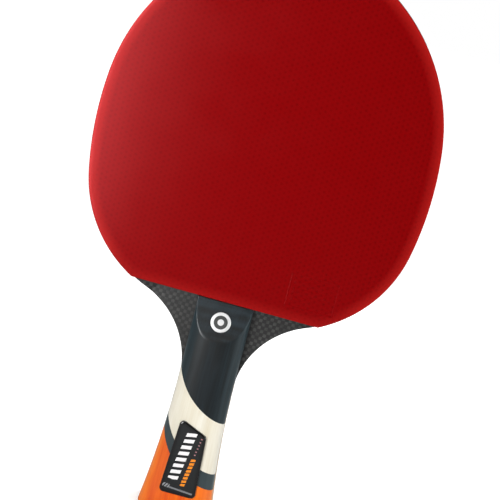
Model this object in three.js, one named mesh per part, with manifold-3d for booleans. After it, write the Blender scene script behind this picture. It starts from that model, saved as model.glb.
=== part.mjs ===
// Table tennis paddle: a seven-ply blade, a pimples-in rubber on each face, an inlaid wooden
// handle scale on each side of the grip, a medallion on the thumb ramp and a domed badge.
//
// Millimetres. The origin is the middle of the butt end, +Z runs up the handle to the tip of the
// head, +X is to the right and -Y points out of the red face.

import * as THREE from 'three';
import { mergeVertices } from 'three/addons/utils/BufferGeometryUtils.js';
import Module from 'manifold-3d';

const wasm = await Module();
wasm.setup();

// Overall size
const HANDLE_LENGTH = 100;
const HEAD_LENGTH = 157;
const NECK_HALF_WIDTH = 12.6;
const BUTT_HALF_WIDTH = 17;

// Blade outline from the tip down its right side: radius and sweep of each tangent arc.
// A last, wide arc is worked out so that the outline meets the neck running straight down.
const HEAD_ARCS = [
  { radius: 68, sweep: 36.6 },
  { radius: 84, sweep: 45.9 },
  { radius: 150.7, sweep: 17.6 },
  { radius: 58.5, sweep: 58.3 },
];
const NECK_FILLET = { radius: 38.4, sweep: 63.8 };
const ARC_STEP = 3;
const FLARE_STEPS = 12;
const CORNER_SEGMENTS = 8;

// Blade plies, from the middle outwards; all but the core are there twice
const CORE = 3.2;
const CROSS_PLY = 0.5;
const VENEER = 0.6;
const CARBON = 0.3;
const BLADE = CORE + 2 * (CROSS_PLY + VENEER + CARBON);

// Rubbers: set in a little from the blade's rim, with the straight edge above the handle
const SPONGE = 2;
const TOP_SHEET = 1.9;
const RUBBER_INSET = 0.3;
const RUBBER_EDGE_SKEW = THREE.MathUtils.degToRad(0.6);

// Handle scales: a D section with short upright walls and a crowned top, just below the rubber
const SCALE_LENGTH = HANDLE_LENGTH - 0.5;
const SCALE_HEIGHT = 8.5;
const SCALE_HEIGHT_AT_BUTT = 9.5;
const WALL_SHARE = 0.17;
const CROWN_POWER = 2.5;
const CROWN_POINTS = 20;
const SCALE_STEPS = 20;
const RAMP_LENGTH = 17;
const RAMP_LIP = 2.8;

// Inlays: the joints between the woods follow one round sweep, repeated down the handle
const SWEEP = { radius: 35.7, x: 20.6 };
const SWEEP_SEGMENTS = 120;
const SLATE_SWEEP_Z = 80.5;
const CREAM_SWEEP_Z = 56.8;
const STRIPE_SWEEP_Z = 49.4;
const JOINT_GAP = 0.3;

// Badge: a black plate with a clear resin dome, let into the crown above the butt
const BADGE_CORNERS = [[-8.4, 9.5], [8.4, 9.5], [6.7, 39.3], [-6.2, 45]];
const BADGE_CORNER_RADIUS = 2;
const BADGE_SEAT = 7.9;
const BADGE_PLATE = 1.1;
const BADGE_DOME = 0.8;
const DOME_RIM = 1;
const DOME_FLAT = 0.2;
const DOME_SEGMENTS = 4;

// Medallion: a small metal disc on the thumb ramp
const MEDALLION_RADIUS = 4.5;
const MEDALLION_THICKNESS = 0.8;
const MEDALLION_Z = 91;
const MEDALLION_SEGMENTS = 48;

// Cutters reach well past what they cut
const CUTTER_SIZE = 80;
const WEDGE_REACH = 5;

function material(color, roughness, metalness = 0) {
  return new THREE.MeshStandardMaterial({ color, roughness, metalness });
}

function part(name, geometry, look) {
  const mesh = new THREE.Mesh(geometry, look);
  mesh.name = name;
  return mesh;
}

// --- Solids: a closed geometry to a manifold body and back ---

function toSolid(geometry) {
  const bare = geometry.clone();
  bare.deleteAttribute('normal');
  bare.deleteAttribute('uv');
  const merged = mergeVertices(bare);
  return new wasm.Manifold(new wasm.Mesh({
    numProp: 3,
    vertProperties: new Float32Array(merged.attributes.position.array),
    triVerts: new Uint32Array(merged.index.array),
  }));
}

function toGeometry(solid) {
  const mesh = solid.getMesh();
  const geometry = new THREE.BufferGeometry();
  geometry.setAttribute('position', new THREE.BufferAttribute(mesh.vertProperties, 3));
  geometry.setIndex(new THREE.BufferAttribute(mesh.triVerts, 1));
  geometry.computeVertexNormals();
  return geometry;
}

// --- Outlines, drawn in the plane of the blade: x to the right, y up the handle ---

// Right side of the blade from the tip to the neck, moved in by inset all along.
function sidePoints(inset) {
  const start = new THREE.Vector2(0, HANDLE_LENGTH + HEAD_LENGTH);
  const points = [new THREE.Vector2(0, start.y - inset)];
  const corner = start.clone();
  let heading = 0;
  const follow = (radius, sweep, bend) => {
    const centreX = corner.x - bend * radius * Math.sin(heading);
    const centreY = corner.y - bend * radius * Math.cos(heading);
    const steps = Math.max(2, Math.ceil(THREE.MathUtils.radToDeg(sweep) / ARC_STEP));
    const drawn = radius - bend * inset;
    const from = heading;
    for (let i = 1; i <= steps; i += 1) {
      heading = from + (bend * sweep * i) / steps;
      points.push(new THREE.Vector2(
        centreX + bend * drawn * Math.sin(heading),
        centreY + bend * drawn * Math.cos(heading),
      ));
    }
    corner.set(
      centreX + bend * radius * Math.sin(heading),
      centreY + bend * radius * Math.cos(heading),
    );
  };
  for (const arc of HEAD_ARCS) follow(arc.radius, THREE.MathUtils.degToRad(arc.sweep), 1);
  follow(NECK_FILLET.radius, THREE.MathUtils.degToRad(NECK_FILLET.sweep), -1);
  const lastRadius = (corner.x - NECK_HALF_WIDTH) / (1 - Math.sin(heading));
  follow(lastRadius, heading - Math.PI / 2, -1);
  return points;
}

const NECK_Z = sidePoints(0).at(-1).y;

// A width or height that keeps its neck value down to the neck and then flares to the butt.
function flare(z, atNeck, atButt) {
  const drop = Math.max(0, NECK_Z - z);
  const rise = atButt - atNeck;
  const radius = (NECK_Z * NECK_Z + rise * rise) / (2 * rise);
  return atNeck + radius - Math.sqrt(radius * radius - drop * drop);
}

const halfWidth = (z) => flare(z, NECK_HALF_WIDTH, BUTT_HALF_WIDTH);
const scaleHeight = (z) => flare(z, SCALE_HEIGHT, SCALE_HEIGHT_AT_BUTT);

// Both sides from the right-hand points, which run from the tip down.
function mirrored(right) {
  const left = right.filter((p) => p.x > 0).map((p) => new THREE.Vector2(-p.x, p.y)).reverse();
  return new THREE.Shape([...right, ...left]);
}

function bladeOutline() {
  const right = sidePoints(0);
  for (let i = 1; i <= FLARE_STEPS; i += 1) {
    const z = NECK_Z * (1 - i / FLARE_STEPS);
    right.push(new THREE.Vector2(halfWidth(z), z));
  }
  return mirrored(right);
}

// The head above one straight line, which falls by skew from left to right.
function rubberOutline(skew) {
  const edge = (x) => HANDLE_LENGTH - x * Math.tan(skew);
  const clip = (points, side) => {
    const kept = [];
    for (let i = 0; i < points.length; i += 1) {
      const p = new THREE.Vector2(side * points[i].x, points[i].y);
      if (p.y > edge(p.x)) {
        kept.push(p);
        continue;
      }
      const q = kept.at(-1);
      const above = q.y - edge(q.x);
      const below = edge(p.x) - p.y;
      kept.push(q.clone().lerp(p, above / (above + below)));
      break;
    }
    return kept;
  };
  const side = sidePoints(RUBBER_INSET);
  return new THREE.Shape([...clip(side, 1), ...clip(side, -1).slice(1).reverse()]);
}

// A closed outline with straight sides and rounded corners, moved out by grow.
function roundedOutline(corners, radius, grow) {
  const shape = new THREE.Shape();
  corners.forEach(([x, y], i) => {
    const corner = new THREE.Vector2(x, y);
    const before = new THREE.Vector2(...corners.at(i - 1)).sub(corner).normalize();
    const after = new THREE.Vector2(...corners[(i + 1) % corners.length]).sub(corner).normalize();
    const half = Math.acos(before.dot(after)) / 2;
    const inward = before.clone().add(after).normalize();
    const centre = corner.clone().addScaledVector(inward, radius / Math.sin(half));
    const middle = inward.clone().negate().angle();
    const spread = Math.PI / 2 - half;
    shape.absarc(centre.x, centre.y, radius + grow, middle - spread, middle + spread, false);
  });
  return shape;
}

// --- Solids from outlines ---

// A flat plate between two depths, low the nearer to the red face.
function plate(outline, low, high) {
  const options = { depth: high - low, bevelEnabled: false, curveSegments: CORNER_SEGMENTS };
  return new THREE.ExtrudeGeometry(outline, options).rotateX(Math.PI / 2).translate(0, high, 0);
}

// --- Blade ---

function buildBlade() {
  const outline = bladeOutline();
  const layers = [
    ['cross_ply', CROSS_PLY, material('#c9a877', 0.7)],
    ['veneer', VENEER, material('#4b4440', 0.6)],
    ['carbon_skin', CARBON, material('#2c2d2e', 0.35)],
  ];
  const core = plate(outline, -CORE / 2, CORE / 2);
  const blade = [part('core_ply', core, material('#dcc08f', 0.75))];
  let depth = CORE / 2;
  for (const [name, thickness, look] of layers) {
    const outer = depth + thickness;
    blade.push(part(`front_${name}`, plate(outline, -outer, -depth), look));
    blade.push(part(`back_${name}`, plate(outline, depth, outer), look));
    depth = outer;
  }
  return blade;
}

// --- Rubbers ---

function buildRubbers() {
  const inner = BLADE / 2;
  const middle = inner + SPONGE;
  const outer = middle + TOP_SHEET;
  const front = rubberOutline(RUBBER_EDGE_SKEW);
  const back = rubberOutline(0);
  return [
    part('front_sponge', plate(front, -middle, -inner), material('#b8352b', 0.9)),
    part('red_top_sheet', plate(front, -outer, -middle), material('#a3121a', 0.45)),
    part('back_sponge', plate(back, inner, middle), material('#2b2b2d', 0.9)),
    part('black_top_sheet', plate(back, middle, outer), material('#17181a', 0.45)),
  ];
}

// --- Handle scales ---

function scaleSection() {
  const points = [new THREE.Vector2(1, 0)];
  for (let i = 0; i <= CROWN_POINTS; i += 1) {
    const turn = (Math.PI * i) / CROWN_POINTS;
    const across = Math.cos(turn);
    points.push(new THREE.Vector2(
      Math.sign(across) * Math.abs(across) ** (2 / CROWN_POWER),
      WALL_SHARE + (1 - WALL_SHARE) * Math.max(0, Math.sin(turn)) ** (2 / CROWN_POWER),
    ));
  }
  points.push(new THREE.Vector2(-1, 0));
  return new THREE.Shape(points);
}

// One whole scale before it is cut; side is -1 on the red face and 1 on the black one.
function scaleBlank(side) {
  const options = { depth: SCALE_LENGTH, steps: SCALE_STEPS, bevelEnabled: false };
  const geometry = new THREE.ExtrudeGeometry(scaleSection(), options);
  if (side < 0) geometry.rotateZ(Math.PI);
  const position = geometry.attributes.position;
  for (let i = 0; i < position.count; i += 1) {
    const z = position.getZ(i);
    position.setX(i, position.getX(i) * halfWidth(z));
    position.setY(i, (side * BLADE) / 2 + position.getY(i) * scaleHeight(z));
  }
  return toSolid(geometry);
}

// The wedge above the flat thumb ramp, drawn in depth and height and run across the handle.
function rampCutter(side) {
  const lip = BLADE / 2 + RAMP_LIP;
  const crown = BLADE / 2 + SCALE_HEIGHT;
  const slope = (crown - lip) / RAMP_LENGTH;
  const wedge = new THREE.Shape([
    new THREE.Vector2(lip - slope * WEDGE_REACH, SCALE_LENGTH + WEDGE_REACH),
    new THREE.Vector2(crown + slope * WEDGE_REACH, SCALE_LENGTH - RAMP_LENGTH - WEDGE_REACH),
    new THREE.Vector2(CUTTER_SIZE, SCALE_LENGTH + WEDGE_REACH),
  ]);
  const geometry = new THREE.ExtrudeGeometry(wedge, { depth: CUTTER_SIZE, bevelEnabled: false });
  geometry.translate(0, 0, -CUTTER_SIZE / 2);
  geometry.applyMatrix4(new THREE.Matrix4().makeBasis(
    new THREE.Vector3(0, 1, 0),
    new THREE.Vector3(0, 0, 1),
    new THREE.Vector3(1, 0, 0),
  ));
  if (side < 0) geometry.rotateZ(Math.PI);
  return toSolid(geometry);
}

// Everything above a joint: the half space over the sweep's middle and the round below it.
function aboveSweep(z, shift) {
  const depth = CUTTER_SIZE;
  const radius = SWEEP.radius + shift;
  const round = new THREE.CylinderGeometry(radius, radius, depth, SWEEP_SEGMENTS);
  round.translate(SWEEP.x, 0, z);
  const over = new THREE.BoxGeometry(2 * CUTTER_SIZE, depth, 2 * CUTTER_SIZE);
  over.translate(0, 0, z - shift + CUTTER_SIZE);
  return toSolid(round).add(toSolid(over));
}

function badgePocket() {
  const outline = roundedOutline(BADGE_CORNERS, BADGE_CORNER_RADIUS, JOINT_GAP);
  const floor = -(BLADE / 2 + BADGE_SEAT);
  return toSolid(plate(outline, floor - CUTTER_SIZE, floor));
}

// One scale cut into its four woods, from the blade down to the butt.
function buildScale(side) {
  const name = side < 0 ? 'front' : 'back';
  const slate = material('#2b3438', 0.4);
  const woods = [
    { wood: 'slate_top', look: slate, joint: SLATE_SWEEP_Z },
    { wood: 'cream_inlay', look: material('#e3decb', 0.45), joint: CREAM_SWEEP_Z },
    { wood: 'slate_stripe', look: slate, joint: STRIPE_SWEEP_Z },
    { wood: 'orange_butt', look: material('#e5611d', 0.4), joint: null },
  ];
  let rest = scaleBlank(side).subtract(rampCutter(side));
  if (side < 0) rest = rest.subtract(badgePocket());
  return woods.map(({ wood, look, joint }) => {
    let piece = rest;
    if (joint !== null) {
      piece = rest.intersect(aboveSweep(joint, -JOINT_GAP / 2));
      rest = rest.subtract(aboveSweep(joint, JOINT_GAP / 2));
    }
    return part(`${name}_${wood}`, toGeometry(piece), look);
  });
}

// --- Badge and medallion ---

function buildBadge() {
  const seat = BLADE / 2 + BADGE_SEAT;
  const top = seat + BADGE_PLATE;
  const outline = roundedOutline(BADGE_CORNERS, BADGE_CORNER_RADIUS, 0);
  const dome = new THREE.ExtrudeGeometry(outline, {
    depth: DOME_FLAT,
    bevelThickness: BADGE_DOME - DOME_FLAT,
    bevelSize: DOME_RIM,
    bevelOffset: -DOME_RIM,
    bevelSegments: DOME_SEGMENTS,
    curveSegments: CORNER_SEGMENTS,
  });
  dome.rotateX(Math.PI / 2);
  const under = new THREE.BoxGeometry(2 * CUTTER_SIZE, CUTTER_SIZE, 2 * CUTTER_SIZE);
  const bevelled = toSolid(dome).subtract(toSolid(under.translate(0, CUTTER_SIZE / 2, 0)));
  const cap = toGeometry(bevelled).translate(0, -top, 0);
  return [
    part('badge_plate', plate(outline, -top, -seat), material('#141416', 0.3)),
    part('badge_dome', cap, material('#1d1d20', 0.08)),
  ];
}

function buildMedallion() {
  const slope = Math.atan2(SCALE_HEIGHT - RAMP_LIP, RAMP_LENGTH);
  const disc = new THREE.CylinderGeometry(
    MEDALLION_RADIUS,
    MEDALLION_RADIUS,
    MEDALLION_THICKNESS,
    MEDALLION_SEGMENTS,
  );
  const medallion = part('medallion', disc, material('#d9dadb', 0.3, 0.6));
  const depth = RAMP_LIP + (SCALE_LENGTH - MEDALLION_Z) * Math.tan(slope);
  const lift = JOINT_GAP + MEDALLION_THICKNESS / 2;
  medallion.rotation.x = -slope;
  medallion.position.set(
    0,
    -(BLADE / 2 + depth) - lift * Math.cos(slope),
    MEDALLION_Z + lift * Math.sin(slope),
  );
  return medallion;
}

// --- Assembly ---

const paddle = new THREE.Group();
paddle.add(...buildBlade(), ...buildRubbers());
paddle.add(...buildScale(-1), ...buildScale(1));
paddle.add(...buildBadge(), buildMedallion());

export default paddle;
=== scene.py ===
import math

import bmesh
import bpy
from mathutils import Matrix, Quaternion, Vector


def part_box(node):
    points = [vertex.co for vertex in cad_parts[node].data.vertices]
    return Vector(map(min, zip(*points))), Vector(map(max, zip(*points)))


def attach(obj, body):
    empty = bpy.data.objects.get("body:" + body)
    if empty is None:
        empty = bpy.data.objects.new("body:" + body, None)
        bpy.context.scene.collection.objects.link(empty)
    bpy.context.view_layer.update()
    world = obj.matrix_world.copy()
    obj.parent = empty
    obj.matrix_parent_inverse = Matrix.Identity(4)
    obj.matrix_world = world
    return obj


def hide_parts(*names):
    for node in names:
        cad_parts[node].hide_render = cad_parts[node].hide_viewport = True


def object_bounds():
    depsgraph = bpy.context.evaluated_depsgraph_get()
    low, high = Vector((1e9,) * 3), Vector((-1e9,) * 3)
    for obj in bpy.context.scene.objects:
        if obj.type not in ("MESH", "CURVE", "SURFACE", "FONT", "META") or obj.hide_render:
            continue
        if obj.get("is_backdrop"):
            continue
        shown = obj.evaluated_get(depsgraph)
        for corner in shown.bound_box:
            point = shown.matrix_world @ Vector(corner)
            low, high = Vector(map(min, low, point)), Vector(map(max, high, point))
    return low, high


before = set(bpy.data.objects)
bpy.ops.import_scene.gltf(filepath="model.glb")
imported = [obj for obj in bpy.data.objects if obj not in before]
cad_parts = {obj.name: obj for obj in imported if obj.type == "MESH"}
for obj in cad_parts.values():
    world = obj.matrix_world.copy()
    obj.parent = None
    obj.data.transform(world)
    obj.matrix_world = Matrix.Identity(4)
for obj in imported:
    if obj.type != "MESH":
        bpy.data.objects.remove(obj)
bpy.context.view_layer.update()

# ------------------------------------------------
# Blade. Seven plies glued under a press and sanded together round the rim: a light core,
# a cross-grained ply, a dark veneer and a woven carbon skin on each side. Each ply is one
# plate on the same outline; only the skins' outer edges are rounded by the sanding.

blade_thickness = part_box("front_carbon_skin")[0].y * -2
handle_length = 0.100
head_length = 0.157
neck_half_width = 0.0126
butt_half_width = 0.017
head_arcs = [(0.068, 36.6), (0.084, 45.9), (0.1507, 17.6), (0.0585, 58.3)]
neck_arc = (0.0384, 63.8)
arc_step = 1.0
flare_steps = 24
rounding_turns = range(0, 91, 15)
sanding_turns = range(0, 91, 30)
sanding_end = 0.006
sanding_fade = 0.004
sharp_edge = math.radians(32)
butt_rounding = 0.0009
rim_sanding = 0.00025
ply_depths = {
    "cross_ply": (0.0016, 0.0021),
    "veneer": (0.0021, 0.0027),
    "carbon_skin": (0.0027, blade_thickness / 2),
}


def blade_side(inset):
    """The blade's right side from the tip down to the neck, as x and z, moved in by inset."""
    tip = handle_length + head_length
    points = [(0.0, tip - inset)]
    corner_x, corner_z, heading = 0.0, tip, 0.0
    arcs = [(radius, math.radians(sweep), 1) for radius, sweep in head_arcs]
    arcs.append((neck_arc[0], math.radians(neck_arc[1]), -1))
    while True:
        for radius, sweep, bend in arcs:
            middle_x = corner_x - bend * radius * math.sin(heading)
            middle_z = corner_z - bend * radius * math.cos(heading)
            steps = math.ceil(math.degrees(sweep) / arc_step)
            drawn = radius - bend * inset
            for step in range(1, steps + 1):
                turned = heading + bend * sweep * step / steps
                x = middle_x + bend * drawn * math.sin(turned)
                z = middle_z + bend * drawn * math.cos(turned)
                points.append((x, z))
            heading += bend * sweep
            corner_x = middle_x + bend * radius * math.sin(heading)
            corner_z = middle_z + bend * radius * math.cos(heading)
        if corner_x <= neck_half_width + 1e-9:
            return points
        last_radius = (corner_x - neck_half_width) / (1 - math.sin(heading))
        arcs = [(last_radius, heading - math.pi / 2, -1)]


neck_z = blade_side(0.0)[-1][1]


def flare(z, at_neck, at_butt):
    """A size that is the same above the neck and swells on one wide arc down to the butt."""
    drop = max(0.0, neck_z - z)
    rise = at_butt - at_neck
    radius = (neck_z**2 + rise**2) / (2 * rise)
    return at_neck + radius - math.sqrt(radius**2 - drop**2)


def butt_inset(z):
    """How far the sanded edge of the butt end has drawn in at this height."""
    if z >= butt_rounding:
        return 0.0
    return butt_rounding - math.sqrt(butt_rounding**2 - (butt_rounding - z) ** 2)


def half_width(z):
    """Half the handle's width."""
    return flare(z, neck_half_width, butt_half_width) - butt_inset(z)


def blade_outline(inset):
    """The whole blade as x and z, from the tip down the right side and up the left one."""
    right = blade_side(inset)
    heights = [neck_z * (1 - step / flare_steps) for step in range(1, flare_steps)]
    heights += [butt_rounding * (1 - math.sin(math.radians(turn))) for turn in rounding_turns]
    right += [(half_width(z), z) for z in heights]
    left = [(-x, z) for x, z in reversed(right) if x > 0]
    return right + left


def paint(code):
    """A colour for a shader socket from its six-figure display code."""
    shown = [int(code[place : place + 2], 16) / 255 for place in (0, 2, 4)]
    linear = [c / 12.92 if c <= 0.04045 else ((c + 0.055) / 1.055) ** 2.4 for c in shown]
    return (*linear, 1.0)


def add_node(tree, kind, inputs=None, **options):
    """Adds a node with its options, and gives each listed input a value or a link."""
    made = tree.nodes.new(kind)
    for option, value in options.items():
        setattr(made, option, value)
    for place, value in (inputs or {}).items():
        if isinstance(value, bpy.types.NodeSocket):
            tree.links.new(value, made.inputs[place])
        else:
            made.inputs[place].default_value = value
    return made


def math_node(tree, operation, *values):
    """The result of one sum on sockets or numbers."""
    inputs = dict(enumerate(values))
    return add_node(tree, "ShaderNodeMath", inputs, operation=operation).outputs[0]


def vector_math(tree, operation, *values):
    """The resulting vector of one operation on vectors."""
    inputs = dict(enumerate(values))
    return add_node(tree, "ShaderNodeVectorMath", inputs, operation=operation).outputs[0]


def noise(tree, vector, scale, detail, roughness=0.5):
    """Cloudy noise from 0 to 1 over a place."""
    inputs = {"Vector": vector, "Scale": scale, "Detail": detail, "Roughness": roughness}
    return add_node(tree, "ShaderNodeTexNoise", inputs).outputs["Fac"]


def map_range(tree, value, low, high, at_low, at_high):
    """A value between low and high turned into one between two others."""
    inputs = {0: value, 1: low, 2: high, 3: at_low, 4: at_high}
    return add_node(tree, "ShaderNodeMapRange", inputs).outputs[0]


def mix_colours(tree, share, first, second):
    """Two colours mixed by share."""
    inputs = {0: share, 6: first, 7: second}
    return add_node(tree, "ShaderNodeMix", inputs, data_type="RGBA").outputs[2]


def new_group(name, inputs, outputs, kind="ShaderNodeTree"):
    """A node group with its sockets: its tree, what it is given and what it puts out."""
    tree = bpy.data.node_groups.new(name, kind)
    for in_out, sockets in (("INPUT", inputs), ("OUTPUT", outputs)):
        for label, sort in sockets.items():
            tree.interface.new_socket(label, in_out=in_out, socket_type="NodeSocket" + sort)
    return tree, tree.nodes.new("NodeGroupInput").outputs, tree.nodes.new("NodeGroupOutput").inputs


def use_group(tree, name, inputs):
    """What one copy of a group puts out in a material."""
    group = bpy.data.node_groups[name]
    return add_node(tree, "ShaderNodeGroup", inputs, node_tree=group).outputs


def new_material(name, shift=(0, 0, 0), turn=(0, 0, 0)):
    """A material, its shader and a mapped place on the object to read patterns from."""
    look = bpy.data.materials.new(name)
    look.use_nodes = True
    tree = look.node_tree
    place = add_node(tree, "ShaderNodeTexCoord").outputs["Object"]
    inputs = {"Vector": place, "Location": shift, "Rotation": turn}
    mapped = add_node(tree, "ShaderNodeMapping", inputs).outputs["Vector"]
    return look, tree, tree.nodes["Principled BSDF"], mapped


def roughen(tree, shader, height, depth, strength):
    """Feeds a height pattern to the shader's normal."""
    inputs = {"Height": height, "Distance": depth, "Strength": strength}
    bump = add_node(tree, "ShaderNodeBump", inputs)
    tree.links.new(bump.outputs["Normal"], shader.inputs["Normal"])


# Wood grain: long fibres, broad streaks and, on laminated stock, thin glued layers.
inputs = {
    "Vector": "Vector", "Wood": "Color", "Streak": "Color",
    "Fibres": "Float", "Streaks": "Float", "Layers": "Float",
}
tree, given, made = new_group("wood_grain", inputs, {"Color": "Color", "Height": "Float"})
for label, stretch, scale, detail in (
    ("Fibres", (1.0, 1.0, 0.035), 1500.0, 4.0),
    ("Streaks", (1.0, 1.0, 0.09), 210.0, 3.0),
    ("Layers", (0.015, 1.0, 0.015), 1300.0, 1.0),
):
    stretched = vector_math(tree, "MULTIPLY", given["Vector"], stretch)
    lines = noise(tree, stretched, scale, detail, 0.6)
    centred = math_node(tree, "SUBTRACT", lines, 0.5)
    weighed = math_node(tree, "MULTIPLY", centred, given[label])
    if label == "Fibres":
        total = weighed
        tree.links.new(lines, made["Height"])
    else:
        total = math_node(tree, "ADD", total, weighed)
share = add_node(tree, "ShaderNodeClamp", {0: math_node(tree, "ADD", total, 0.5)})
mixed = mix_colours(tree, share.outputs[0], given["Wood"], given["Streak"])
tree.links.new(mixed, made["Color"])

# Hand marks: faint cloudy smears that make a finish a little duller or shinier.
inputs = {"Vector": "Vector", "Shiny": "Float", "Dull": "Float"}
tree, given, made = new_group("hand_marks", inputs, {"Roughness": "Float"})
smears = noise(tree, given["Vector"], 70.0, 5.0, 0.65)
spread = map_range(tree, smears, 0.3, 0.7, given["Shiny"], given["Dull"])
tree.links.new(spread, made["Roughness"])


def add_hand_marks(tree, shader, place, shiny, dull):
    """Feeds the hand marks to the shader's roughness."""
    inputs = {"Vector": place, "Shiny": shiny, "Dull": dull}
    marks = use_group(tree, "hand_marks", inputs)["Roughness"]
    tree.links.new(marks, shader.inputs["Roughness"])


def wood_material(name, tones, amounts, shine, coat, turn=(0, 0, 0), shift=(0, 0, 0)):
    """A wood: its tones with an optional painted flank highlight, the amounts of fibres, streaks and
    layers, and its finish.
    """
    look, tree, shader, place = new_material(name, shift, turn)
    fibres, streaks, layers = amounts
    inputs = {
        "Vector": place, "Wood": paint(tones[0]), "Streak": paint(tones[1]),
        "Fibres": fibres, "Streaks": streaks, "Layers": layers,
    }
    grain = use_group(tree, "wood_grain", inputs)
    tone = grain["Color"]
    # A third tone is mixed in down the crown's flanks: a painted highlight where the lacquer would
    # reflect the surround.
    if len(tones) > 2:
        flank_highlight = add_node(tree, "ShaderNodeAttribute", attribute_name="flank_highlight").outputs["Fac"]
        tone = mix_colours(tree, flank_highlight, tone, paint(tones[2]))
    tree.links.new(tone, shader.inputs["Base Color"])
    add_hand_marks(tree, shader, place, *shine)
    roughen(tree, shader, grain["Height"], 0.00006, 0.35)
    shader.inputs["Specular IOR Level"].default_value = 0.3
    shader.inputs["Coat Weight"].default_value = coat
    shader.inputs["Coat Roughness"].default_value = 0.16
    return look


# Carbon skin: flat tows woven over and under each other, square to the handle, under resin, with a
# painted sheen on the tows that run along the handle.
tow_width = 0.0016

inputs = {"Vector": "Vector", "Dark": "Color", "Bright": "Color"}
outputs = {"Color": "Color", "Height": "Float", "Roughness": "Float"}
tree, given, made = new_group("carbon_weave", inputs, outputs)
scaled = vector_math(tree, "MULTIPLY", given["Vector"], (1 / tow_width,) * 3)
axes = add_node(tree, "ShaderNodeSeparateXYZ", {0: scaled}).outputs
cells, arches = [], []
for axis in "XZ":
    cells.append(math_node(tree, "FLOOR", axes[axis]))
    turns = math_node(tree, "MULTIPLY", axes[axis], math.pi)
    arches.append(math_node(tree, "ABSOLUTE", math_node(tree, "SINE", turns)))
warp_over = math_node(tree, "ADD", *cells)
warp_over = math_node(tree, "FLOORED_MODULO", warp_over, 2.0)
bulge = math_node(tree, "POWER", math_node(tree, "MULTIPLY", *arches), 0.3)
hairs = [
    noise(tree, vector_math(tree, "MULTIPLY", scaled, stretch), 1.0, 2.0)
    for stretch in ((9.0, 1.0, 0.35), (0.35, 1.0, 9.0))
]
inputs = {0: warp_over, 2: hairs[1], 3: hairs[0]}
hair = add_node(tree, "ShaderNodeMix", inputs).outputs[0]
uneven = map_range(tree, noise(tree, scaled, 0.45, 4.0, 0.7), 0.35, 0.7, 0.6, 3.2)
# Painted sheen: where a tow running along the handle lies on top it is coloured brighter, most on its
# crown, unevenly.
painted_tow_sheen = math_node(tree, "MULTIPLY", math_node(tree, "MULTIPLY", warp_over, bulge), hair)
painted_tow_sheen = math_node(tree, "MULTIPLY", painted_tow_sheen, uneven)
painted_tow_sheen = add_node(tree, "ShaderNodeClamp", {0: painted_tow_sheen}).outputs[0]
tow_tone = mix_colours(tree, painted_tow_sheen, given["Dark"], given["Bright"])
tree.links.new(tow_tone, made["Color"])
tow_height = math_node(tree, "ADD", bulge, math_node(tree, "MULTIPLY", hair, 0.3))
tree.links.new(tow_height, made["Height"])
inputs = {0: warp_over, 2: 0.42, 3: 0.3}
sheen = add_node(tree, "ShaderNodeMix", inputs).outputs[0]
tree.links.new(sheen, made["Roughness"])

carbon_look, tree, shader, place = new_material("carbon_skin")
inputs = {"Vector": place, "Dark": paint("0f0f0f"), "Bright": paint("3f3f3d")}
weave = use_group(tree, "carbon_weave", inputs)
tree.links.new(weave["Color"], shader.inputs["Base Color"])
tree.links.new(weave["Roughness"], shader.inputs["Roughness"])
roughen(tree, shader, weave["Height"], 0.00008, 0.5)
shader.inputs["Coat Weight"].default_value = 0.35
shader.inputs["Coat Roughness"].default_value = 0.2

core_look = wood_material(
    "core_wood", ("dcc08f", "bb9660"), amounts=(0.9, 0.7, 0.0), shine=(0.5, 0.7), coat=0.0
)
cross_look = wood_material(
    "cross_wood",
    ("c9a877", "8f6c40"),
    amounts=(1.1, 0.4, 0.0),
    shine=(0.55, 0.75),
    coat=0.0,
    turn=(0, math.pi / 2, 0),
)
veneer_look = wood_material(
    "dark_veneer", ("4f4640", "2c2522"), amounts=(0.8, 0.5, 0.0), shine=(0.5, 0.7), coat=0.0
)
ply_looks = {
    "cross_ply": (cross_look, "cross_wood"),
    "veneer": (veneer_look, "dark_veneer"),
    "carbon_skin": (carbon_look, "carbon_skin"),
}


def closed_mesh(name, points, faces):
    """A mesh with doubled points merged, normals outward and edges sharp above an angle."""
    mesh = bpy.data.meshes.new(name)
    mesh.from_pydata(points, [], faces)
    work = bmesh.new()
    work.from_mesh(mesh)
    bmesh.ops.remove_doubles(work, verts=work.verts, dist=1e-7)
    bmesh.ops.recalc_face_normals(work, faces=work.faces)
    work.to_mesh(mesh)
    work.free()
    mesh.shade_smooth()
    mesh.set_sharp_from_angle(angle=sharp_edge)
    return mesh


def loft(name, rings):
    """A closed mesh through rings with the same number of points, capped at both ends."""
    count = len(rings[0])
    points = [point for ring in rings for point in ring]
    faces = [tuple(range(count)), tuple(range(len(points) - count, len(points)))]
    for start in range(0, len(points) - count, count):
        for step in range(count):
            after = (step + 1) % count
            faces.append((start + step, start + after, start + count + after, start + count + step))
    return closed_mesh(name, points, faces)


def new_object(name, data):
    """An object in the scene that holds a mesh, a lamp or a camera."""
    made = bpy.data.objects.new(name, data)
    bpy.context.scene.collection.objects.link(made)
    return made


def fit_piece(name, mesh, look, node):
    """Puts a finished piece in the frame in place of its plain solid."""
    piece = new_object(name, mesh)
    mesh.materials.clear()
    mesh.materials.append(look)
    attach(piece, "root")
    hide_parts(node)


full_outline = blade_outline(0.0)
sanded_outline = blade_outline(rim_sanding)


def blade_ring(depth, inset):
    """The outline at one depth, drawn in by the sanding everywhere above the handle."""
    ring = []
    for (x, z), (sanded_x, sanded_z) in zip(full_outline, sanded_outline):
        climb = (z - handle_length + sanding_end) / sanding_fade
        share = min(1.0, max(0.0, climb)) * inset / rim_sanding
        ring.append((x + (sanded_x - x) * share, depth, z + (sanded_z - z) * share))
    return ring


core_depth = ply_depths["cross_ply"][0]
core = loft("core_ply", [blade_ring(-core_depth, 0.0), blade_ring(core_depth, 0.0)])
fit_piece("blade_core_ply", core, core_look, "core_ply")

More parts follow.
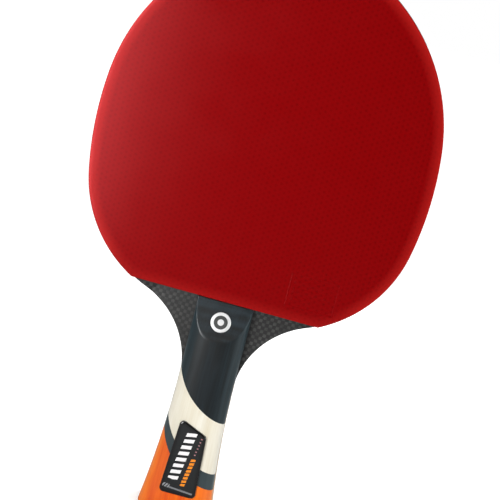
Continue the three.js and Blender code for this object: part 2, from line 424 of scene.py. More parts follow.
for side, face in ((-1, "front"), (1, "back")):
    for ply, (inner, outer) in ply_depths.items():
        rings = [blade_ring(side * inner, 0.0)]
        if ply == "carbon_skin":
            for turn in sanding_turns:
                drawn_in = rim_sanding * (1 - math.cos(math.radians(turn)))
                lift = rim_sanding * (1 - math.sin(math.radians(turn)))
                rings.append(blade_ring(side * (outer - lift), drawn_in))
        else:
            rings.append(blade_ring(side * outer, 0.0))
        mesh = loft(f"{face}_{ply}", rings)
        look, slot = ply_looks[ply]
        fit_piece(f"blade_{face}_{ply}", mesh, look, f"{face}_{ply}")

# ------------------------------------------------
# Rubbers. On each face a sponge sheet is glued to the blade, and on it a moulded top sheet
# whose pimples point inwards, so that they show only faintly through its playing face.
# Both are cut round the rim together, and straight across above the handle.

sponge_thickness = 0.002
pimple_height = 0.001
top_sheet_thickness = 0.0019
rubber_inset = 0.0003
side_points = 170
lower_points = 70
red_edge_skew = math.radians(0.6)
roll_turns = range(0, 91, 10)
edge_roll = 0.0018
edge_drop = 0.00015
# The painted rim highlight: how far in it reaches, how it fades, and how much of it the straight lower
# edge keeps.
rim_band = 0.0052
rim_falloff = 0.8
lower_rim = 0.5
lower_rim_fade = 0.012
pimple_pitch = 0.0024
pimple_root = 0.0008
pimple_tip = 0.00068
pimple_cut = 0.00002
pimple_overlap = 0.00005
pimple_columns = 76
pimple_rows = 72
pimple_middle = (0.0, 0.0, 0.1788)


def even_points(points, count):
    """The same line with its points spread evenly along its length."""
    lengths = [0.0]
    for before, after in zip(points, points[1:]):
        lengths.append(lengths[-1] + math.dist(before, after))
    spread, place = [], 0
    for step in range(count):
        wanted = lengths[-1] * step / (count - 1)
        while place < len(points) - 2 and lengths[place + 1] < wanted:
            place += 1
        share = (wanted - lengths[place]) / (lengths[place + 1] - lengths[place])
        before, after = points[place], points[place + 1]
        spread.append(tuple(a + (b - a) * share for a, b in zip(before, after)))
    return spread


def rubber_outline(inset, skew):
    """The head above the straight lower edge, as x and z, drawn in by inset all round."""

    def above_edge(point):
        return point[1] - handle_length - inset + point[0] * math.tan(skew)

    sides = []
    for hand in (1, -1):
        line = []
        for x, z in blade_side(rubber_inset + inset):
            point = (hand * x, z)
            if above_edge(point) <= 0:
                last = line[-1]
                share = above_edge(last) / (above_edge(last) - above_edge(point))
                line.append(tuple(a + (b - a) * share for a, b in zip(last, point)))
                break
            line.append(point)
        sides.append(even_points(line, side_points))
    right, left = sides
    lower = even_points([right[-1], left[-1]], lower_points)
    return right + lower[1:-1] + left[:0:-1]


def rubber_ring(depth, inset, skew):
    """The rubber's outline at one depth."""
    return [(x, depth, z) for x, z in rubber_outline(inset, skew)]


def length_of(tree, vector):
    """A vector's length."""
    inputs = {0: vector}
    return add_node(tree, "ShaderNodeVectorMath", inputs, operation="LENGTH").outputs["Value"]


# Pimple show-through: dots on the sheet's hexagonal grid, 1 in a dot's middle.
inputs = {"Vector": "Vector", "Pitch": "Float", "Inner": "Float", "Outer": "Float"}
tree, given, made = new_group("pimple_dots", inputs, {"Dots": "Float"})
column = math_node(tree, "MULTIPLY", given["Pitch"], math.cos(math.radians(30)))
half_pitch = math_node(tree, "MULTIPLY", given["Pitch"], 0.5)
high = add_node(tree, "ShaderNodeCombineXYZ", {"X": column, "Y": 1.0, "Z": half_pitch}).outputs[0]
low = vector_math(tree, "MULTIPLY", high, (-1.0, -1.0, -1.0))
lengths = []
for start in (given["Vector"], vector_math(tree, "ADD", given["Vector"], high)):
    wrapped = vector_math(tree, "WRAP", start, high, low)
    lengths.append(length_of(tree, vector_math(tree, "MULTIPLY", wrapped, (1, 0, 1))))
nearest = math_node(tree, "MINIMUM", *lengths)
inputs = {0: nearest, 1: given["Inner"], 2: given["Outer"], 3: 1.0, 4: 0.0}
dots = add_node(tree, "ShaderNodeMapRange", inputs, interpolation_type="SMOOTHSTEP").outputs[0]
tree.links.new(dots, made["Dots"])


def rubber_material(name, tone, dot_tone, rim_highlight_tone, shine, gloss_tint):
    """Moulded rubber: its face, the dots of the pimples behind it, and a painted highlight along its
    rim.
    """
    look, tree, shader, place = new_material(name)
    inputs = {"Vector": place, "Pitch": pimple_pitch, "Inner": 0.0002, "Outer": 0.0009}
    dots = use_group(tree, "pimple_dots", inputs)["Dots"]
    uneven = noise(tree, place, 420.0, 4.0, 0.65)
    seen = math_node(tree, "MULTIPLY", math_node(tree, "ADD", dots, 0.35), uneven)
    face = mix_colours(tree, seen, paint(tone), paint(dot_tone))
    # The rim's tone is lighter than the face: a painted highlight where the rolled edge would catch
    # the lamps.
    rim = add_node(tree, "ShaderNodeAttribute", attribute_name="rim").outputs["Fac"]
    tree.links.new(mix_colours(tree, rim, face, paint(rim_highlight_tone)), shader.inputs["Base Color"])
    add_hand_marks(tree, shader, place, *shine)
    pressed = math_node(tree, "SUBTRACT", math_node(tree, "MULTIPLY", uneven, 0.25), dots)
    roughen(tree, shader, pressed, 0.00002, 0.3)
    shader.inputs["Specular IOR Level"].default_value = 0.5
    shader.inputs["Specular Tint"].default_value = paint(gloss_tint)
    return look


# Foam pores: small round cells cut through at the rim, their insides darker with painted shade.
inputs = {"Vector": "Vector", "Foam": "Color", "Pore": "Color"}
tree, given, made = new_group("foam_pores", inputs, {"Color": "Color", "Height": "Float"})
inputs = {"Vector": given["Vector"], "Scale": 3800.0}
cells = add_node(tree, "ShaderNodeTexVoronoi", inputs).outputs["Distance"]
holes = map_range(tree, cells, 0.15, 0.55, 1.0, 0.0)
tree.links.new(mix_colours(tree, holes, given["Foam"], given["Pore"]), made["Color"])
tree.links.new(math_node(tree, "SUBTRACT", 1.0, holes), made["Height"])


def sponge_material(name, foam, pore_shade):
    """Cut foam, quite dull."""
    look, tree, shader, place = new_material(name)
    inputs = {"Vector": place, "Foam": paint(foam), "Pore": paint(pore_shade)}
    pores = use_group(tree, "foam_pores", inputs)
    tree.links.new(pores["Color"], shader.inputs["Base Color"])
    roughen(tree, shader, pores["Height"], 0.0001, 0.7)
    shader.inputs["Roughness"].default_value = 0.85
    return look


# Pimples: cones on a hexagonal grid over a seat, the outline of the sponge's face.
inputs = {
    "Seat": "Geometry", "Columns": "Int", "Rows": "Int", "Material": "Material",
    "Pitch": "Float", "Root": "Float", "Tip": "Float", "Height": "Float",
    "Centre": "Vector", "Outward": "Vector", "Turn": "Rotation",
}
outputs = {"Pimples": "Geometry"}
tree, given, made = new_group("pimple_field", inputs, outputs, "GeometryNodeTree")
# A grid with every other column moved half a pitch along, in the middle of the blade.
across = math_node(tree, "MULTIPLY", given["Pitch"], math.cos(math.radians(30)))
gaps_across = math_node(tree, "SUBTRACT", given["Columns"], 1.0)
gaps_along = math_node(tree, "SUBTRACT", given["Rows"], 1.0)
inputs = {"Vertices X": given["Columns"], "Vertices Y": given["Rows"]}
inputs["Size X"] = math_node(tree, "MULTIPLY", across, gaps_across)
inputs["Size Y"] = math_node(tree, "MULTIPLY", given["Pitch"], gaps_along)
grid = add_node(tree, "GeometryNodeMeshGrid", inputs).outputs["Mesh"]
number = add_node(tree, "GeometryNodeInputIndex").outputs[0]
column_number = math_node(tree, "DIVIDE", number, given["Rows"])
column_number = math_node(tree, "FLOOR", column_number)
odd = math_node(tree, "FLOORED_MODULO", column_number, 2.0)
half_pitch = math_node(tree, "MULTIPLY", given["Pitch"], 0.5)
stagger = math_node(tree, "MULTIPLY", odd, half_pitch)
shift = add_node(tree, "ShaderNodeCombineXYZ", {"Y": stagger}).outputs[0]
inputs = {"Geometry": grid, "Offset": shift}
staggered = add_node(tree, "GeometryNodeSetPosition", inputs).outputs[0]
inputs = {"Geometry": staggered, "Translation": given["Centre"], "Rotation": (math.pi / 2, 0, 0)}
upright = add_node(tree, "GeometryNodeTransform", inputs).outputs[0]
# Its points are cast outward onto the seat, and those that miss it are dropped.
inputs = {"Target Geometry": given["Seat"], "Ray Direction": given["Outward"], "Ray Length": 0.02}
ray = add_node(tree, "GeometryNodeRaycast", inputs).outputs
inputs = {0: ray["Is Hit"]}
missed = add_node(tree, "FunctionNodeBooleanMath", inputs, operation="NOT").outputs[0]
inputs = {"Geometry": upright, "Selection": missed}
over_seat = add_node(tree, "GeometryNodeDeleteGeometry", inputs, domain="POINT").outputs[0]
inputs = {"Geometry": over_seat, "Position": ray["Hit Position"]}
feet = add_node(tree, "GeometryNodeSetPosition", inputs).outputs[0]
# A cone stands on each.
inputs = {"Radius Bottom": given["Tip"], "Radius Top": given["Root"], "Depth": given["Height"]}
inputs["Vertices"] = 8
pimple = add_node(tree, "GeometryNodeMeshCone", inputs).outputs["Mesh"]
inputs = {"Points": feet, "Instance": pimple, "Rotation": given["Turn"]}
standing = add_node(tree, "GeometryNodeInstanceOnPoints", inputs).outputs[0]
real = add_node(tree, "GeometryNodeRealizeInstances", {"Geometry": standing}).outputs[0]
# What reaches past the seat's edge comes back to it.
inputs = {"Geometry": given["Seat"]}
inside = add_node(tree, "GeometryNodeProximity", inputs, target_element="FACES")
inside_axes = add_node(tree, "ShaderNodeSeparateXYZ", {0: inside.outputs["Position"]}).outputs
own_place = add_node(tree, "GeometryNodeInputPosition").outputs[0]
own_axes = add_node(tree, "ShaderNodeSeparateXYZ", {0: own_place}).outputs
inputs = {"X": inside_axes["X"], "Y": own_axes["Y"], "Z": inside_axes["Z"]}
cut_place = add_node(tree, "ShaderNodeCombineXYZ", inputs).outputs[0]
inputs = {"Geometry": real, "Position": cut_place}
cut = add_node(tree, "GeometryNodeSetPosition", inputs).outputs[0]
inputs = {"Geometry": cut, "Material": given["Material"]}
coloured = add_node(tree, "GeometryNodeSetMaterial", inputs).outputs[0]
tree.links.new(coloured, made["Pimples"])


def pimples(side, skew, look):
    """The pimples of one top sheet as a mesh, from the sponge's face to just inside the sheet."""
    seat_depth = side * (blade_thickness / 2 + sponge_thickness)
    ring = rubber_ring(seat_depth, pimple_cut, skew)
    seat_mesh = bpy.data.meshes.new("pimple_seat")
    seat_mesh.from_pydata(ring, [], [tuple(range(len(ring)))])
    seat = new_object("pimple_seat", seat_mesh)
    field = seat.modifiers.new("pimples", "NODES")
    field.node_group = bpy.data.node_groups["pimple_field"]
    sizes = {
        "Columns": pimple_columns,
        "Rows": pimple_rows,
        "Pitch": pimple_pitch,
        "Root": pimple_root,
        "Tip": pimple_tip,
        "Height": pimple_height + pimple_overlap,
        "Centre": pimple_middle,
        "Outward": (0.0, float(side), 0.0),
        "Turn": (-side * math.pi / 2, 0.0, 0.0),
        "Material": look,
    }
    for socket in field.node_group.interface.items_tree:
        if socket.in_out == "INPUT" and socket.name in sizes:
            field[socket.identifier] = sizes[socket.name]
    seat.update_tag()
    view_layer = bpy.context.evaluated_depsgraph_get()
    mesh = bpy.data.meshes.new_from_object(seat.evaluated_get(view_layer))
    seat.modifiers.remove(field)
    bpy.data.objects.remove(seat)
    return mesh


# Moulded mark: a plain raised frame with three plain bars, low in one corner of the sheet.
mark_corner = (0.0247, 0.1054)
mark_size = (0.0222, 0.0156)
mark_line = 0.0009
mark_height = 0.00006
mark_slope = 0.0004
mark_sunk = 0.0002
mark_margin = 0.0022
mark_bar = 0.0023
mark_bars = ((0.2, 0.5), (0.44, 0.85), (0.68, 0.7))


def raised_shape(work, low, high, side, open_middle):
    """A low bar or frame on the sheet's playing face, with sloping sides, sunk into the sheet."""
    surface = blade_thickness / 2 + sponge_thickness + top_sheet_thickness
    profile = [(-mark_sunk, 0.0), (0.0, 0.0), (mark_height, mark_slope)]
    if open_middle:
        profile += [(lift, mark_line - inset) for lift, inset in reversed(profile)]
    rings = []
    for lift, inset in profile:
        depth = side * (surface + lift)
        x0, z0, x1, z1 = low[0] + inset, low[1] + inset, high[0] - inset, high[1] - inset
        corners = ((x0, z0), (x1, z0), (x1, z1), (x0, z1))
        rings.append([work.verts.new((x, depth, z)) for x, z in corners])
    if open_middle:
        rings.append(rings[0])
    else:
        work.faces.new(rings[0])
        work.faces.new(rings[-1])
    for before, after in zip(rings, rings[1:]):
        for step in range(4):
            follow = (step + 1) % 4
            work.faces.new((before[step], before[follow], after[follow], after[step]))


def moulded_mark(work, side):
    """The frame and its bars."""
    x0, z0 = mark_corner
    raised_shape(work, mark_corner, (x0 + mark_size[0], z0 + mark_size[1]), side, True)
    for place, share in mark_bars:
        bar_low = (x0 + mark_margin, z0 + mark_size[1] * place)
        bar_length = (mark_size[0] - 2 * mark_margin) * share
        bar_high = (bar_low[0] + bar_length, bar_low[1] + mark_bar)
        raised_shape(work, bar_low, bar_high, side, False)


def top_sheet(name, side, skew, look):
    """One top sheet: a plate with a rolled-off rim, its pimples and its moulded mark."""
    outer = blade_thickness / 2 + sponge_thickness + top_sheet_thickness
    inner = outer - (top_sheet_thickness - pimple_height)
    rings = [rubber_ring(side * inner, 0.0, skew)]
    rims = [1.0]
    for turn in roll_turns:
        inset = edge_roll * (1 - math.cos(math.radians(turn)))
        drop = edge_drop * (1 - math.sin(math.radians(turn)))
        rings.append(rubber_ring(side * (outer - drop), inset, skew))
        rims.append(1.0 - min(1.0, inset / rim_band) ** rim_falloff)
    rings.append(rubber_ring(side * outer, rim_band, skew))
    rims.append(0.0)
    mesh = loft(name, rings)
    # rim holds the share of the painted highlight at each point: full at the edge, fading inward,
    # weaker along the lower edge.
    rim = mesh.attributes.new("rim", "FLOAT", "POINT")
    count = len(rings[0])
    for number, vertex in enumerate(mesh.vertices):
        climb = (vertex.co.z - handle_length) / lower_rim_fade
        rim.data[number].value = rims[number // count] * min(1.0, max(lower_rim, climb))
    work = bmesh.new()
    work.from_mesh(mesh)
    work.from_mesh(pimples(side, skew, look))
    moulded_mark(work, side)
    bmesh.ops.recalc_face_normals(work, faces=work.faces)
    work.to_mesh(mesh)
    work.free()
    return mesh


# Each rubber's third tone is the painted highlight along its rim.
red_rubber = rubber_material("red_rubber", "800204", "690102", "a41a17", (0.2, 0.25), "ff6e72")
black_rubber = rubber_material("black_rubber", "1b1c1e", "161718", "2e2f31", (0.28, 0.36), "8c8c8c")
red_sponge = sponge_material("red_sponge", "c23a30", "7d1c16")
black_sponge = sponge_material("black_sponge", "2d2d2f", "121213")

for side, face, colour, skew, foam, rubber in (
    (-1, "front", "red", red_edge_skew, red_sponge, red_rubber),
    (1, "back", "black", 0.0, black_sponge, black_rubber),
):
    blade_face = side * blade_thickness / 2
    sponge_face = blade_face + side * sponge_thickness
    rings = [rubber_ring(blade_face, 0.0, skew), rubber_ring(sponge_face, 0.0, skew)]
    sponge = loft(f"{face}_sponge", rings)
    fit_piece(f"rubber_{face}_sponge", sponge, foam, f"{face}_sponge")
    sheet = top_sheet(f"{colour}_top_sheet", side, skew, rubber)
    fit_piece(f"rubber_{colour}_top_sheet", sheet, rubber, f"{colour}_top_sheet")

# ------------------------------------------------
# Handle scales. On each face a block of dyed, laminated woods is glued to the blade and
# shaped with it: slate, cream, a slate stripe and orange, jointed along one round sweep.
# The top is cut back to a flat thumb ramp, and the whole grip is lacquered.

scale_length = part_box("front_slate_top")[1].z
scale_height = 0.0085
scale_height_at_butt = 0.0095
wall_share = 0.17
crown_power = 2.5
crown_points = 72
ramp_length = 0.017
ramp_lip = 0.0028
ramp_softness = 0.0003
ramp_edge_reach = 0.002
long_rows = 40
short_rows = 16
# How strong the painted flank highlight gets at the foot of the crown.
flank_highlight_strength = 0.8
sweep_radius = 0.0357
sweep_x = 0.0206
joint_heights = [0.0805, 0.0568, 0.0494]
joint_rounds = 40
wood_names = ["slate_top", "cream_inlay", "slate_stripe", "orange_butt"]

# Each handle wood's third tone is its painted flank highlight.
slate_look = wood_material(
    "slate_wood", ("18242a", "05090b", "31444a"), amounts=(1.4, 1.2, 2.4), shine=(0.34, 0.46), coat=0.3
)
stripe_look = wood_material(
    "stripe_wood",
    ("313d41", "222b2e", "435458"),
    amounts=(0.7, 0.9, 1.0),
    shine=(0.3, 0.42),
    coat=0.6,
    shift=(0.007, 0.0, 0.031),
)
cream_look = wood_material(
    "cream_wood",
    ("e9e5d7", "d3c8ab", "f2f0e8"),
    amounts=(0.8, 1.4, 0.5),
    shine=(0.3, 0.42),
    coat=0.5,
    shift=(0.013, 0.0, 0.02),
)
orange_look = wood_material(
    "orange_wood",
    ("f37206", "d43802", "f7933a"),
    amounts=(0.8, 2.0, 0.5),
    shine=(0.3, 0.42),
    coat=0.5,
    shift=(0.041, 0.0, 0.05),
)
wood_looks = {
    "slate_top": (slate_look, "slate_wood"),
    "cream_inlay": (cream_look, "cream_wood"),
    "slate_stripe": (stripe_look, "slate_wood"),
    "orange_butt": (orange_look, "orange_wood"),
}


def section_columns():
    """The D section as shares of half width and height: short walls and a crowned top."""
    columns = [(1.0, 0.0)]
    for step in range(crown_points + 1):
        turn = math.pi * step / crown_points
        across = math.cos(turn)
        x = math.copysign(abs(across) ** (2 / crown_power), across)
        rise = max(0.0, math.sin(turn)) ** (2 / crown_power)
        columns.append((x, wall_share + (1 - wall_share) * rise))
    return columns + [(-1.0, 0.0)]


def crown_height(share, z):
    """The crown's height over the blade at one place across the handle."""
    return share * (flare(z, scale_height, scale_height_at_butt) - butt_inset(z))


def ramp_height(z):
    """The thumb ramp's height over the blade."""
    return ramp_lip + (scale_length - z) * (scale_height - ramp_lip) / ramp_length


def wood_height(share, z):
    """The lower of the crown and the ramp, with the edge between them eased."""
    crown, ramp = crown_height(share, z), ramp_height(z)
    ease = max(0.0, ramp_softness - abs(crown - ramp)) / ramp_softness
    return min(crown, ramp) - ease**2 * ramp_softness / 4


def joint_height(x_share, sweep_z):
    """Where one column of the section meets a joint's round sweep."""
    z = sweep_z
    for _ in range(joint_rounds):
        aside = sweep_x - x_share * half_width(z)
        z = sweep_z - math.sqrt(sweep_radius**2 - aside**2)
    return z


def column_heights(x_share, share, low, high):
    """The heights of one column's points, closer together at the butt and round the ramp."""
    bottom = 0.0 if low is None else joint_height(x_share, low)
    top = scale_length if high is None else joint_height(x_share, high)
    rounds = []
    if low is None:
        rounds = [butt_rounding * (1 - math.cos(math.radians(turn))) for turn in rounding_turns[:-1]]
        bottom = butt_rounding
    near = top
    if high is None:
        slope = (scale_height - ramp_lip) / ramp_length
        edge = scale_length - (crown_height(share, neck_z) - ramp_lip) / slope
        near = min(scale_length, edge) - ramp_edge_reach
    heights = rounds + [bottom + (near - bottom) * step / long_rows for step in range(long_rows)]
    if high is None:
        far = min(scale_length, edge + ramp_edge_reach)
        heights += [near + (far - near) * step / short_rows for step in range(short_rows)]
        heights += [far + (top - far) * step / short_rows for step in range(short_rows)]
    return heights + [top]


def wood_block(name, side, low, high):
    """One wood of a scale between two joints, closed by its glued face on the blade."""
    columns = section_columns()
    points, faces = [], []
    for x_share, share in columns:
        for z in column_heights(x_share, share, low, high):
            x = x_share * half_width(z)
            points.append((x, side * (blade_thickness / 2 + wood_height(share, z)), z))
    rows = len(points) // len(columns)
    points += [(x, side * blade_thickness / 2, z) for x, _, z in points]
    glued = rows * len(columns)
    for column in range(len(columns) - 1):
        here, there = column * rows, (column + 1) * rows
        for row in range(rows - 1):
            for start in (0, glued):
                a, b = start + here + row, start + there + row
                faces.append((a, a + 1, b + 1, b))
        for row in (0, rows - 1):
            a, b = here + row, there + row
            faces.append((a, b, b + glued, a + glued))
    return closed_mesh(name, points, faces)


badge_corners = [(-0.0084, 0.0095), (0.0084, 0.0095), (0.0067, 0.0393), (-0.0062, 0.045)]
badge_corner_radius = 0.002
badge_corner_steps = 8
badge_seat = 0.0079
pocket_clearance = 0.00005


def badge_outline(inset):
    """The badge's four straight sides and rounded corners, as x and z, drawn in by inset."""
    ring = []
    for number, corner in enumerate(badge_corners):
        here = Vector(corner)
        before = (Vector(badge_corners[number - 1]) - here).normalized()
        after = (Vector(badge_corners[(number + 1) % 4]) - here).normalized()
        half = before.angle(after) / 2
        inward = (before + after).normalized()
        middle = here + inward * badge_corner_radius / math.sin(half)
        facing = math.atan2(-inward.y, -inward.x)
        for step in range(-badge_corner_steps, badge_corner_steps + 1):
            turn = facing + (math.pi / 2 - half) * step / badge_corner_steps
            reach = badge_corner_radius - inset
            ring.append((middle.x + reach * math.cos(turn), middle.y + reach * math.sin(turn)))
    return ring


def badge_ring(depth, inset, share=1.0):
    """The outline at one depth, optionally shrunk towards the badge's middle."""
    middle = sum((Vector(corner) for corner in badge_corners), Vector((0, 0))) / 4
    ring = []
    for point in badge_outline(inset):
        x, z = middle + (Vector(point) - middle) * share
        ring.append((x, -depth, z))
    return ring


def cut_pocket(mesh):
    """The mesh with the badge's pocket milled out of it."""
    seat = blade_thickness / 2 + badge_seat
    rings = [badge_ring(depth, -pocket_clearance) for depth in (seat, 2 * seat)]
    cutter = new_object("pocket", loft("pocket", rings))
    block = new_object("block", mesh)
    milling = block.modifiers.new("pocket", "BOOLEAN")
    milling.object = cutter
    milling.operation = "DIFFERENCE"
    milling.solver = "EXACT"
    view_layer = bpy.context.evaluated_depsgraph_get()
    milled = bpy.data.meshes.new_from_object(block.evaluated_get(view_layer))
    for helper in (cutter, block):
        bpy.data.objects.remove(helper)
    milled.shade_smooth()
    milled.set_sharp_from_angle(angle=sharp_edge)
    return milled


def mark_flank_highlights(mesh):
    """Notes how far down the crown's side each point lies, for the painted highlight on the flanks."""
    flank_highlight = mesh.attributes.new("flank_highlight", "FLOAT", "POINT")
    for number, vertex in enumerate(mesh.vertices):
        x, y, z = vertex.co
        x_share = min(1.0, abs(x) / half_width(z))
        share = wall_share + (1 - wall_share) * (1 - x_share**crown_power) ** (1 / crown_power)
        crown = blade_thickness / 2 + crown_height(share, z)
        if abs(y) > crown - ramp_softness:
            flank_highlight.data[number].value = min(1.0, (1 - share) / (1 - wall_share)) * flank_highlight_strength


joint_pairs = list(zip(joint_heights + [None], [None] + joint_heights))
for side, face in ((-1, "front"), (1, "back")):
    for wood, (low, high) in zip(wood_names, joint_pairs):
        node = f"{face}_{wood}"
        block = wood_block(node, side, low, high)
        if side < 0 and wood != "slate_top":
            block = cut_pocket(block)
        mark_flank_highlights(block)
        look, slot = wood_looks[wood]
        fit_piece(f"grip_{node}", block, look, node)

# ------------------------------------------------
# Badge. A black plate is set in a pocket milled into the crown above the butt, and a resin
# dome is cast on it over a printed film: plain slanted blocks, a bar, dots and a thin line.

badge_plate_thickness = 0.0011
badge_dome_height = 0.0008
dome_rim = 0.0011
dome_crown = 0.0002
dome_foot = 0.0001
dome_rings = 12

# Printed bar: a straight row of slanted blocks, 1 inside them.
inputs = {
    "Vector": "Vector", "Centre": "Vector", "Turn": "Float", "Half Length": "Float",
    "Half Width": "Float", "Pitch": "Float", "Filled": "Float", "Slant": "Float",
}
tree, given, made = new_group("printed_bar", inputs, {"Print": "Float"})
centred = vector_math(tree, "SUBTRACT", given["Vector"], given["Centre"])
inputs = {"Vector": centred, "Axis": (0, 1, 0), "Angle": given["Turn"]}
turned = add_node(tree, "ShaderNodeVectorRotate", inputs).outputs[0]
axes = add_node(tree, "ShaderNodeSeparateXYZ", {0: turned}).outputs
across, along = (math_node(tree, "ABSOLUTE", axes[axis]) for axis in "XZ")
in_width = math_node(tree, "LESS_THAN", across, given["Half Width"])
in_length = math_node(tree, "LESS_THAN", along, given["Half Length"])
lean = math_node(tree, "MULTIPLY", axes["X"], given["Slant"])
from_end = math_node(tree, "ADD", axes["Z"], given["Half Length"])
leaning = math_node(tree, "ADD", from_end, lean)
pitches = math_node(tree, "DIVIDE", leaning, given["Pitch"])
within = math_node(tree, "FLOORED_MODULO", pitches, 1.0)
in_block = math_node(tree, "LESS_THAN", within, given["Filled"])
in_bar = math_node(tree, "MULTIPLY", in_width, in_length)
tree.links.new(math_node(tree, "MULTIPLY", in_bar, in_block), made["Print"])

badge_black, tree, shader, place = new_material("badge_black")
add_hand_marks(tree, shader, place, 0.25, 0.4)
speckle = noise(tree, place, 900.0, 3.0)
black_tone = mix_colours(tree, speckle, paint("0c0c0d"), paint("1a1a1c"))
tree.links.new(black_tone, shader.inputs["Base Color"])

badge_prints = [
    ("f1eeee", (-0.0015, 0.0, 0.0283), 9.3, 0.0120, 0.0022, 0.0031, 0.56, -0.35),
    ("ee8a1c", (0.0026, 0.0, 0.0212), 9.3, 0.0070, 0.0010, 0.0018, 0.7, -0.35),
    ("a9787c", (0.0044, 0.0, 0.0345), 9.3, 0.0048, 0.00035, 0.0016, 0.35, 0.0),
    ("77797c", (0.0014, 0.0, 0.0121), 94.5, 0.0054, 0.0004, 1.0, 1.0, 0.0),
    ("8b8d90", (-0.0056, 0.0, 0.0131), 94.5, 0.0016, 0.0009, 0.0013, 0.62, 0.5),
]

badge_resin, tree, shader, place = new_material("badge_resin")
# The dome's bevelled rim is coloured darker than its crown: painted shade along the curved edge of the
# resin.
rim = add_node(tree, "ShaderNodeAttribute", attribute_name="rim").outputs["Fac"]
tone = mix_colours(tree, rim, paint("16191a"), paint("050506"))
for ink, centre, turn, half_long, half_wide, pitch, filled, slant in badge_prints:
    inputs = {
        "Vector": place, "Centre": centre, "Turn": math.radians(-turn), "Pitch": pitch,
        "Half Length": half_long, "Half Width": half_wide,
        "Filled": filled, "Slant": slant,
    }
    print_mask = use_group(tree, "printed_bar", inputs)["Print"]
    tone = mix_colours(tree, print_mask, tone, paint(ink))
tree.links.new(tone, shader.inputs["Base Color"])
add_hand_marks(tree, shader, place, 0.04, 0.12)
shader.inputs["Coat Weight"].default_value = 0.6
shader.inputs["Coat Roughness"].default_value = 0.03

seat = blade_thickness / 2 + badge_seat
plate_top = seat + badge_plate_thickness
plate = loft("badge_plate", [badge_ring(seat, 0.0), badge_ring(plate_top, 0.0)])
fit_piece("grip_badge_plate", plate, badge_black, "badge_plate")

rings = [badge_ring(plate_top, 0.0)]
rims = [1.0]
for turn in rounding_turns:
    inset = dome_rim * (1 - math.cos(math.radians(turn)))
    rise = (badge_dome_height - dome_crown) * math.sin(math.radians(turn))
    height = dome_foot + (rise - dome_foot * rise / badge_dome_height)
    rings.append(badge_ring(plate_top + height, inset))
    rims.append(1.0)
for step in range(1, dome_rings):
    share = 1 - step / dome_rings
    bulge = dome_crown * (1 - share**2)
    rings.append(badge_ring(plate_top + badge_dome_height - dome_crown + bulge, dome_rim, share))
    rims.append(0.0)
dome = loft("badge_dome", rings)
# rim marks the bevel that takes the painted shade.
rim = dome.attributes.new("rim", "FLOAT", "POINT")
for number in range(len(dome.vertices)):
    rim.data[number].value = rims[number // len(rings[0])]
fit_piece("grip_badge_dome", dome, badge_resin, "badge_dome")

# ------------------------------------------------
# Medallion. A small stamped aluminium disc glued flat on the thumb ramp, its edge rolled
# over, with one plain ring pressed into its face and filled with dark enamel.

medallion_radius = 0.0045
medallion_thickness = 0.0008
medallion_z = 0.091
ring_inner = 0.0014
ring_outer = 0.0031
ring_depth = 0.00012
edge_radius = 0.0003
disc_points = 96

ramp_slope = math.atan2(scale_height - ramp_lip, ramp_length)
medallion_depth = blade_thickness / 2 + ramp_height(medallion_z)
on_ramp = Matrix.Translation((0.0, -medallion_depth, medallion_z))
on_ramp @= Matrix.Rotation(math.pi / 2 - ramp_slope, 4, "X")

profile = [(medallion_radius, 0.0)]
for turn in rounding_turns:
    out = edge_radius * math.cos(math.radians(turn))
    up = edge_radius * math.sin(math.radians(turn))
    profile.append((medallion_radius - edge_radius + out, medallion_thickness - edge_radius + up))
profile += [
    (ring_outer, medallion_thickness),
    (ring_outer - ring_depth / 2, medallion_thickness - ring_depth),
    (ring_inner + ring_depth / 2, medallion_thickness - ring_depth),
    (ring_inner, medallion_thickness),
    (ring_inner / 2, medallion_thickness),
]
rings = []
for radius, height in profile:
    turns = [math.tau * step / disc_points for step in range(disc_points)]
    ring = [(radius * math.cos(turn), radius * math.sin(turn), height) for turn in turns]
    rings.append([tuple(on_ramp @ Vector(point)) for point in ring])
medallion = loft("medallion", rings)

# The mapping turns the ramp flat, so that distance from the disc's middle can be read.
medallion_metal, tree, shader, place = new_material("medallion_metal")
mapping = next(node for node in tree.nodes if node.type == "MAPPING")
mapping.vector_type = "TEXTURE"
mapping.inputs["Location"].default_value = on_ramp.translation
mapping.inputs["Rotation"].default_value = on_ramp.to_euler()
reach = length_of(tree, vector_math(tree, "MULTIPLY", place, (1, 1, 0)))
within = math_node(tree, "LESS_THAN", reach, ring_outer - ring_depth / 4)
beyond = math_node(tree, "GREATER_THAN", reach, ring_inner + ring_depth / 4)
in_ring = math_node(tree, "MULTIPLY", within, beyond)
brushed = noise(tree, place, 700.0, 3.0)
bright = mix_colours(tree, brushed, paint("ececec"), paint("dcdddd"))
tree.links.new(mix_colours(tree, in_ring, bright, paint("3a3c3b")), shader.inputs["Base Color"])
tree.links.new(map_range(tree, in_ring, 0.0, 1.0, 0.4, 0.0), shader.inputs["Metallic"])
add_hand_marks(tree, shader, place, 0.25, 0.38)
roughen(tree, shader, brushed, 0.00002, 0.2)
fit_piece("grip_medallion", medallion, medallion_metal, "medallion")

# ------------------------------------------------
# Studio. A pale floor under the butt, a white surround, a softbox on the left with a narrow
# panel beside it for the sheen, lamps overhead and on the right, and a softbox behind. The
# camera stands almost square to the red face, and is rolled so that the head leans right.

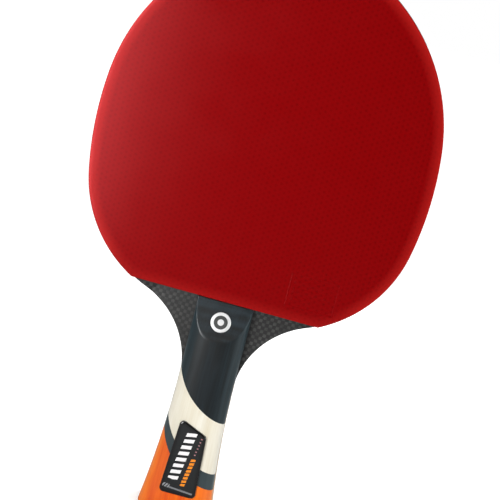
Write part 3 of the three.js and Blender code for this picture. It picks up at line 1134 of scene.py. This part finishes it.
floor_size = 30.0
floor_gap = 0.0001
floor_glow_near = 0.22
floor_glow_far = 0.8
floor_bounce = "929292"
surround_front = 0.16
surround_back = 1.0
floor_mesh = bpy.data.meshes.new("floor")
reach = floor_size / 2
corners = [(-reach, -reach, 0.0), (reach, -reach, 0.0), (reach, reach, 0.0), (-reach, reach, 0.0)]
floor_mesh.from_pydata(corners, [], [(0, 1, 2, 3)])
floor = new_object("floor", floor_mesh)
floor.location.z = -floor_gap
floor_look, tree, shader, place = new_material("floor_paint")
clouds = noise(tree, place, 8.0, 3.0)
floor_tone = mix_colours(tree, clouds, paint("f4f4f4"), paint("fbfbfb"))
seen_by_camera = add_node(tree, "ShaderNodeLightPath").outputs["Is Camera Ray"]
floor_tone = mix_colours(tree, seen_by_camera, paint(floor_bounce), floor_tone)
tree.links.new(floor_tone, shader.inputs["Base Color"])
shader.inputs["Roughness"].default_value = 0.9
shader.inputs["Specular IOR Level"].default_value = 0.0
shader.inputs["Emission Color"].default_value = (1.0, 1.0, 1.0, 1.0)
added = map_range(tree, length_of(tree, place), 0.1, 1.2, floor_glow_near, floor_glow_far)
glow = math_node(tree, "MULTIPLY", seen_by_camera, added)
tree.links.new(glow, shader.inputs["Emission Strength"])
floor_mesh.materials.append(floor_look)
floor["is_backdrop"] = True

surround = bpy.data.worlds.new("surround")
surround.use_nodes = True
bpy.context.scene.world = surround
tree = surround.node_tree
direction = add_node(tree, "ShaderNodeTexCoord").outputs["Generated"]
behind = add_node(tree, "ShaderNodeSeparateXYZ", {0: direction}).outputs["Y"]
cast = map_range(tree, behind, -0.1, 0.7, surround_front, surround_back)
seen_by_camera = add_node(tree, "ShaderNodeLightPath").outputs["Is Camera Ray"]
inputs = {0: seen_by_camera, 2: cast, 3: 1.0}
brightness = add_node(tree, "ShaderNodeMix", inputs).outputs[0]
backdrop = next(node for node in tree.nodes if node.type == "BACKGROUND")
backdrop.inputs["Color"].default_value = (1.0, 1.0, 1.0, 1.0)
tree.links.new(brightness, backdrop.inputs["Strength"])

view_distance = 0.5945
view_azimuth = math.radians(1.53)
view_elevation = math.radians(11.08)
view_roll = math.radians(14.54)
view_aim = Vector((0.0042, 0.0, 0.1242))
lens = 96.87
back = Vector((
    math.sin(view_azimuth) * math.cos(view_elevation),
    -math.cos(view_azimuth) * math.cos(view_elevation),
    math.sin(view_elevation),
))
camera = new_object("camera", bpy.data.cameras.new("camera"))
camera.data.lens = lens
camera.data.clip_start = 0.01
camera.location = view_aim + back * view_distance
camera.rotation_mode = "QUATERNION"
level = (-back).to_track_quat("-Z", "Y")
camera.rotation_quaternion = level @ Quaternion((0.0, 0.0, 1.0), view_roll)
bpy.context.scene.camera = camera
bpy.context.scene.view_settings.view_transform = "Standard"


def softbox(name, place, size, power):
    """A soft lamp at place that faces the paddle's middle and isn't itself seen."""
    lamp = bpy.data.lights.new(name, "AREA")
    lamp.shape = "RECTANGLE"
    lamp.size, lamp.size_y = size
    lamp.energy = power
    holder = new_object(name, lamp)
    holder.location = place
    holder.rotation_mode = "QUATERNION"
    holder.rotation_quaternion = (view_aim - Vector(place)).to_track_quat("-Z", "Y")
    holder.visible_camera = False


softbox("left_softbox", (-0.65, -0.45, 0.35), (0.4, 0.6), 0.6)
softbox("sheen_panel", (-0.2, -0.4, 0.18), (0.15, 0.34), 1.72)
softbox("overhead_lamp", (0.0, -0.3, 1.3), (1.0, 1.0), 4.5)
softbox("right_lamp", (0.7, -0.3, 0.3), (0.4, 0.6), 4.6)
softbox("back_softbox", (0.26, 0.45, 0.2), (0.2, 0.36), 1.6)

low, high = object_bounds()
